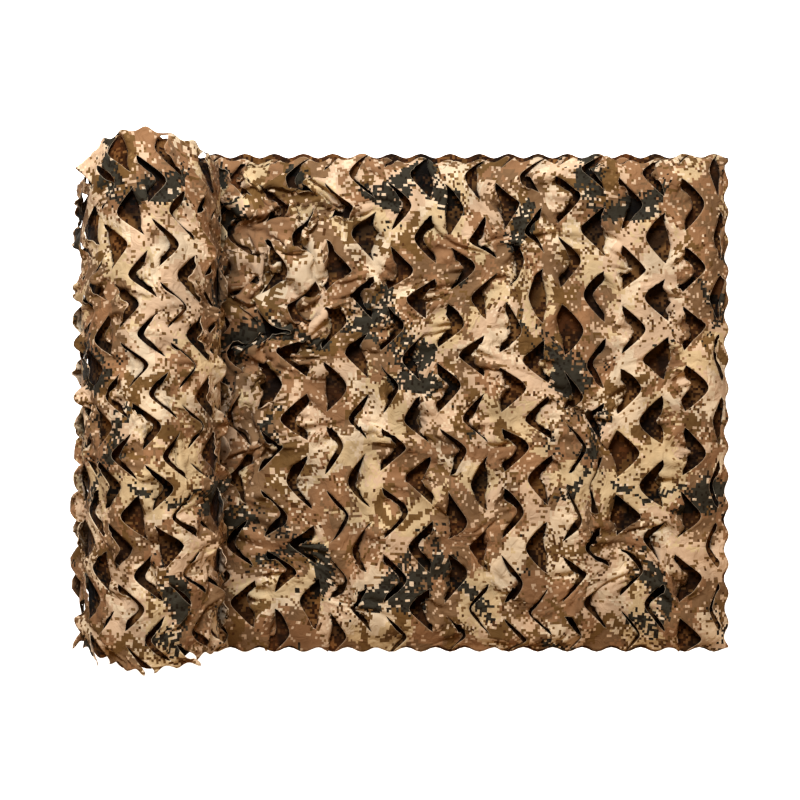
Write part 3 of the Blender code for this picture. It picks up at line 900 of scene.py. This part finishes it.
def print_colour(tree, flat, busy_from):
    """The print: sand, with each layer over the ones before it where all its patterns pass their levels."""
    layers = (
        ("pale sand", (("pale", 0.52),)),
        ("straw", (("straw", 0.53),)),
        ("brown", (("earth", BROWN_FROM),)),
        ("red brown", (("earth", BROWN_FROM), ("rust", 0.50))),
        ("khaki", (("olive", 0.62),)),
        ("khaki", (("rim", 0.5), ("dashes", 0.68))),
        ("dark brown", (("rim", 0.5), ("dots", 0.88))),
        ("dull sand", (("dots", 0.962),)),
        ("sand", (("earth", BROWN_FROM), ("dots", 0.932))),
        ("dull sand", (("dashes", 0.978),)),
        ("sand", (("earth", BROWN_FROM), ("dashes", 0.978))),
        ("khaki", (("busy", busy_from), ("mixed", 0.62))),
        ("cream", (("busy", busy_from), ("mixed", 0.82))),
        ("dark brown", (("busy", busy_from), ("dots", 0.86))),
        ("black", (("ink", 0.605), ("dots", 0.60))),
        ("slate", (("ink", 0.64),)),
        ("black", (("ink", 0.64), ("mixed", 0.88))),
        ("cream", (("ink", 0.63), ("dashes", 0.955))),
    )
    patterns = print_patterns(tree, flat)
    shown = colour(PRINT_COLOURS["sand"])
    for ink, tests in layers:
        mask = None
        for name, level in tests:
            passed = add(tree, "ShaderNodeMath", {0: patterns[name], 1: level}, operation="GREATER_THAN")
            if mask:
                both = {0: mask, 1: passed.outputs["Value"]}
                passed = add(tree, "ShaderNodeMath", both, operation="MULTIPLY")
            mask = passed.outputs["Value"]
        layer = add(tree, "ShaderNodeMix", {
            "Factor": mask, MIX_A: shown, MIX_B: colour(PRINT_COLOURS[ink]),
        }, data_type="RGBA")
        shown = layer.outputs[MIX_RESULT]
    return shown


def printed_cloth(name, painted_shade_tint, faint, strong, busy_from):
    """Woven polyester, printed and hot-cut. It looks matt and crinkled, with square-edged colours that are a
    little darker and lighter from place to place, a fine weave, and pale edges along its cuts, partly fraying
    and partly a painted highlight. A tint below 1 is painted shade over the whole print, for cloth that lies
    in shadow."""
    material = bpy.data.materials.new(name)
    material.use_nodes = True
    tree = material.node_tree
    shader = tree.nodes["Principled BSDF"]
    flat = add(tree, "ShaderNodeUVMap", uv_map="Print").outputs["UV"]

    # The print's tone is a little darker and lighter in random patches.
    tone_noise = add(tree, "ShaderNodeTexNoise", {
        "Vector": flat, "Scale": TONE_PATCH_SCALE, "Detail": 3.0,
    }, noise_dimensions="2D")
    tone_patches = add(tree, "ShaderNodeMapRange", {
        "Value": tone_noise.outputs["Fac"], "From Min": 0.3, "From Max": 0.7, "To Min": 0.88, "To Max": 1.06,
    })
    toned = add(tree, "ShaderNodeVectorMath", {
        0: print_colour(tree, flat, busy_from), "Scale": tone_patches.outputs["Result"],
    }, operation="SCALE")
    lip = add(tree, "ShaderNodeAttribute", attribute_name="cut_edge")
    # Pale edges along the cuts: partly fraying, partly a painted highlight where light catches the cut edges.
    fray_and_highlight = add(tree, "ShaderNodeMapRange", {
        "Value": lip.outputs["Fac"], "From Min": 0.80, "From Max": 0.98, "To Min": 0.0, "To Max": FRAY_AND_HIGHLIGHT,
    })
    edged = add(tree, "ShaderNodeMix", {
        "Factor": fray_and_highlight.outputs["Result"],
        MIX_A: toned.outputs["Vector"], MIX_B: colour(PRINT_COLOURS["cream"]),
    }, data_type="RGBA")
    # The tint is painted shade: none for the cloth in the light, dark brown for the cloth that lies in
    # shadow.
    tinted = add(tree, "ShaderNodeVectorMath", {0: edged.outputs[MIX_RESULT], 1: painted_shade_tint}, operation="MULTIPLY")
    # Patches of tone: a little at random on the cloth in the light; on the shaded copy, painted shade deeper
    # in some patches.
    shade = add(tree, "ShaderNodeMapRange", {
        "Value": blotches(tree, flat, SHADE_SIZE, SHADE_SEED),
        "From Min": 0.35, "From Max": 0.65, "To Min": faint, "To Max": strong,
    })
    shaded = add(tree, "ShaderNodeVectorMath", {
        0: tinted.outputs["Vector"], "Scale": shade.outputs["Result"],
    }, operation="SCALE")
    tree.links.new(shaded.outputs["Vector"], shader.inputs["Base Color"])

    crinkle = add(tree, "ShaderNodeTexNoise", {
        "Vector": flat, "Scale": CRINKLE_SCALE, "Detail": 3.0, "Distortion": 0.8,
    }, noise_dimensions="2D")
    crinkled = add(tree, "ShaderNodeBump", {
        "Height": crinkle.outputs["Fac"], "Strength": 0.7, "Distance": CRINKLE_DEPTH,
    })
    threads = {"Vector": flat, "Scale": THREAD_SCALE}
    warp = add(tree, "ShaderNodeTexWave", threads, bands_direction="X")
    weft = add(tree, "ShaderNodeTexWave", threads, bands_direction="Y")
    weave = add(tree, "ShaderNodeMath", {0: warp.outputs["Fac"], 1: weft.outputs["Fac"]}, operation="ADD")
    bump = add(tree, "ShaderNodeBump", {
        "Height": weave.outputs["Value"], "Strength": 0.25, "Distance": THREAD_DEPTH,
        "Normal": crinkled.outputs["Normal"],
    })
    tree.links.new(bump.outputs["Normal"], shader.inputs["Normal"])
    shader.inputs["Roughness"].default_value = 0.72
    shader.inputs["Specular IOR Level"].default_value = 0.12
    shader.inputs["Sheen Weight"].default_value = 0.04
    return material


# ---------------------------------------------------------------- light, floor and camera

GAMMA, EXPOSURE = 0.84, 0.11
SKY_COLOUR, SKY_STRENGTH = (1.0, 0.61, 0.26, 1), 0.40
SOFTBOX_COLOUR, SOFTBOX_WATTS, SOFTBOX_SIZE = (0.93, 1.0, 1.10), 380, 2.2
SOFTBOX_PLACE, SOFTBOX_AIM = (-0.7, 3.4, 4.4), (0.0, 0.0, 0.1)
FLOOR_SIZE, FLOOR_Z = 8.0, -0.0005
CAMERA_PLACE, CAMERA_LENS, CAMERA_END = (-0.024, 0.008, 5.16), 77.1, 50


def add_light():
    """A warm sky, which the camera sees as white, and one cooler softbox behind the far hem."""
    scene = bpy.context.scene
    scene.view_settings.view_transform = "Standard"
    scene.view_settings.gamma = GAMMA
    scene.view_settings.exposure = EXPOSURE
    scene.world = bpy.data.worlds.new("Studio")
    scene.world.use_nodes = True
    tree = scene.world.node_tree
    sky = tree.nodes["Background"]
    sky.inputs["Color"].default_value = SKY_COLOUR
    sky.inputs["Strength"].default_value = SKY_STRENGTH
    seen = add(tree, "ShaderNodeBackground", {"Color": colour("ffffff"), "Strength": 1.0})
    ray = add(tree, "ShaderNodeLightPath")
    mixed = add(tree, "ShaderNodeMixShader", {
        0: ray.outputs["Is Camera Ray"], 1: sky.outputs["Background"], 2: seen.outputs["Background"],
    })
    tree.links.new(mixed.outputs["Shader"], tree.nodes["World Output"].inputs["Surface"])

    data = bpy.data.lights.new("Softbox", "AREA")
    data.shape = "DISK"
    data.size = SOFTBOX_SIZE
    data.energy = SOFTBOX_WATTS
    data.color = SOFTBOX_COLOUR
    lamp = bpy.data.objects.new("Softbox", data)
    lamp.location = SOFTBOX_PLACE
    lamp.rotation_euler = (Vector(SOFTBOX_AIM) - lamp.location).to_track_quat("-Z", "Y").to_euler()
    lamp.visible_camera = False
    scene.collection.objects.link(lamp)


def add_floor():
    """A white studio floor, matt, which the camera sees as pure white."""
    material = bpy.data.materials.new("white studio floor")
    material.use_nodes = True
    tree = material.node_tree
    shader = tree.nodes["Principled BSDF"]
    shader.inputs["Base Color"].default_value = colour("ededec")
    shader.inputs["Roughness"].default_value = 0.9
    shader.inputs["Emission Color"].default_value = colour("ffffff")
    ray = add(tree, "ShaderNodeLightPath")
    tree.links.new(ray.outputs["Is Camera Ray"], shader.inputs["Emission Strength"])

    mesh = bmesh.new()
    bmesh.ops.create_grid(mesh, x_segments=1, y_segments=1, size=FLOOR_SIZE)
    data = bpy.data.meshes.new("floor")
    mesh.to_mesh(data)
    mesh.free()
    data.materials.append(material)
    floor = bpy.data.objects.new("floor", data)
    floor.location.z = FLOOR_Z
    bpy.context.scene.collection.objects.link(floor)


def add_camera():
    """Straight above the netting, as in the photograph."""
    eye = bpy.data.cameras.new("Camera")
    eye.lens = CAMERA_LENS
    eye.clip_end = CAMERA_END
    camera = bpy.data.objects.new("Camera", eye)
    camera.location = CAMERA_PLACE
    bpy.context.scene.collection.objects.link(camera)
    bpy.context.scene.camera = camera


add_light()
add_floor()
add_camera()
cloth = printed_cloth("printed polyester cloth", *LIT)
# The cloth inside the roll and under the loose end is the same print, darkened and browned by painted shade.
under = printed_cloth("printed polyester cloth, darkened by painted shade", *PAINTED_SHADE)
add_lower_ply(under)
add_upper_ply(cloth)
add_roll(cloth)
add_wound(under)
